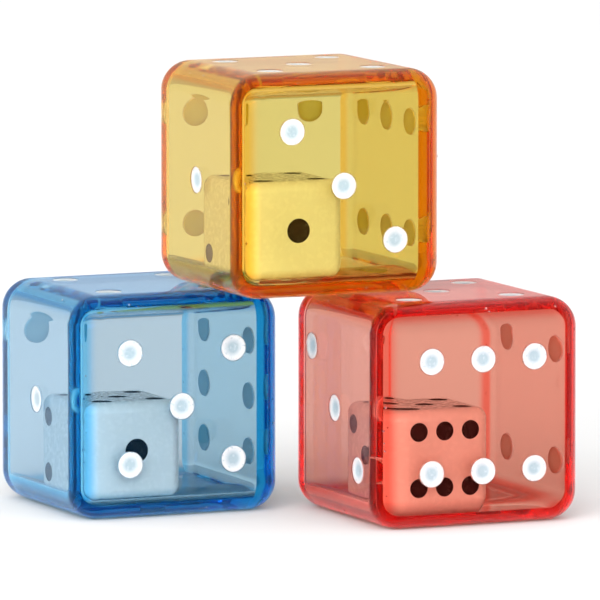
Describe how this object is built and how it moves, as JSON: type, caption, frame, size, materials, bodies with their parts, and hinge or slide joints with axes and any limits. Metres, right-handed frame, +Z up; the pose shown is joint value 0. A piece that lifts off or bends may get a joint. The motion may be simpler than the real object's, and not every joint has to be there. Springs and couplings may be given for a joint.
{
  "type": "double dice",
  "caption": "Stack of giant clear tinted dice, each with white pips outside and a smaller loose white die with black pips rattling inside it",
  "frame": {"origin": "on the floor, under the middle of the stack's bounding box", "axes": "+Z up; the dice faces are square to X and Y; the fronts face -Y; +X runs from the blue die to the red one"},
  "size_m": [0.1864, 0.1624, 0.178],
  "materials": {
    "blue_clear": "polished clear tinted acrylic",
    "red_clear": "polished clear tinted acrylic",
    "yellow_clear": "polished clear tinted acrylic",
    "white_enamel": "filled pips, satin enamel with a shallow dish",
    "white_plastic": "moulded, softly polished",
    "black_enamel": "filled pips, satin enamel with a shallow dish"
  },
  "bodies": {
    "blue_outer_die": {"blue_outer_box": "blue_clear", "blue_outer_lid": "blue_clear", "blue_outer_pips_one": "white_enamel", "blue_outer_pips_two": "white_enamel", "blue_outer_pips_three": "white_enamel", "blue_outer_pips_four": "white_enamel", "blue_outer_pips_five": "white_enamel", "blue_outer_pips_six": "white_enamel"},
    "blue_inner_die": {"blue_inner_cube": "white_plastic", "blue_inner_pips_one": "black_enamel", "blue_inner_pips_two": "black_enamel", "blue_inner_pips_three": "black_enamel", "blue_inner_pips_four": "black_enamel", "blue_inner_pips_five": "black_enamel", "blue_inner_pips_six": "black_enamel"},
    "red_outer_die": {"red_outer_box": "red_clear", "red_outer_lid": "red_clear", "red_outer_pips_one": "white_enamel", "red_outer_pips_two": "white_enamel", "red_outer_pips_three": "white_enamel", "red_outer_pips_four": "white_enamel", "red_outer_pips_five": "white_enamel", "red_outer_pips_six": "white_enamel"},
    "red_inner_die": {"red_inner_cube": "white_plastic", "red_inner_pips_one": "black_enamel", "red_inner_pips_two": "black_enamel", "red_inner_pips_three": "black_enamel", "red_inner_pips_four": "black_enamel", "red_inner_pips_five": "black_enamel", "red_inner_pips_six": "black_enamel"},
    "yellow_outer_die": {"yellow_outer_box": "yellow_clear", "yellow_outer_lid": "yellow_clear", "yellow_outer_pips_one": "white_enamel", "yellow_outer_pips_two": "white_enamel", "yellow_outer_pips_three": "white_enamel", "yellow_outer_pips_four": "white_enamel", "yellow_outer_pips_five": "white_enamel", "yellow_outer_pips_six": "white_enamel"},
    "yellow_inner_die": {"yellow_inner_cube": "white_plastic", "yellow_inner_pips_one": "black_enamel", "yellow_inner_pips_two": "black_enamel", "yellow_inner_pips_three": "black_enamel", "yellow_inner_pips_four": "black_enamel", "yellow_inner_pips_five": "black_enamel", "yellow_inner_pips_six": "black_enamel"}
  },
  "joints": [
    {"name": "yellow_die_lift", "type": "slide", "parent": "blue_outer_die", "child": "yellow_outer_die", "axis": [0, 0, 1], "range_m": [0, 0.15]},
    {"name": "red_die_slide", "type": "slide", "parent": "blue_outer_die", "child": "red_outer_die", "axis": [1, 0, 0], "range_m": [0, 0.15]},
    {"name": "blue_inner_rattle", "type": "slide", "parent": "blue_outer_die", "child": "blue_inner_die", "axis": [0.5774, 0.5774, 0.5774], "range_m": [0, 0.054]},
    {"name": "red_inner_rattle", "type": "slide", "parent": "red_outer_die", "child": "red_inner_die", "axis": [0.5774, 0.5774, 0.5774], "range_m": [0, 0.053]},
    {"name": "yellow_inner_rattle", "type": "slide", "parent": "yellow_outer_die", "child": "yellow_inner_die", "axis": [0.5774, 0.5774, 0.5774], "range_m": [0, 0.054]}
  ]
}
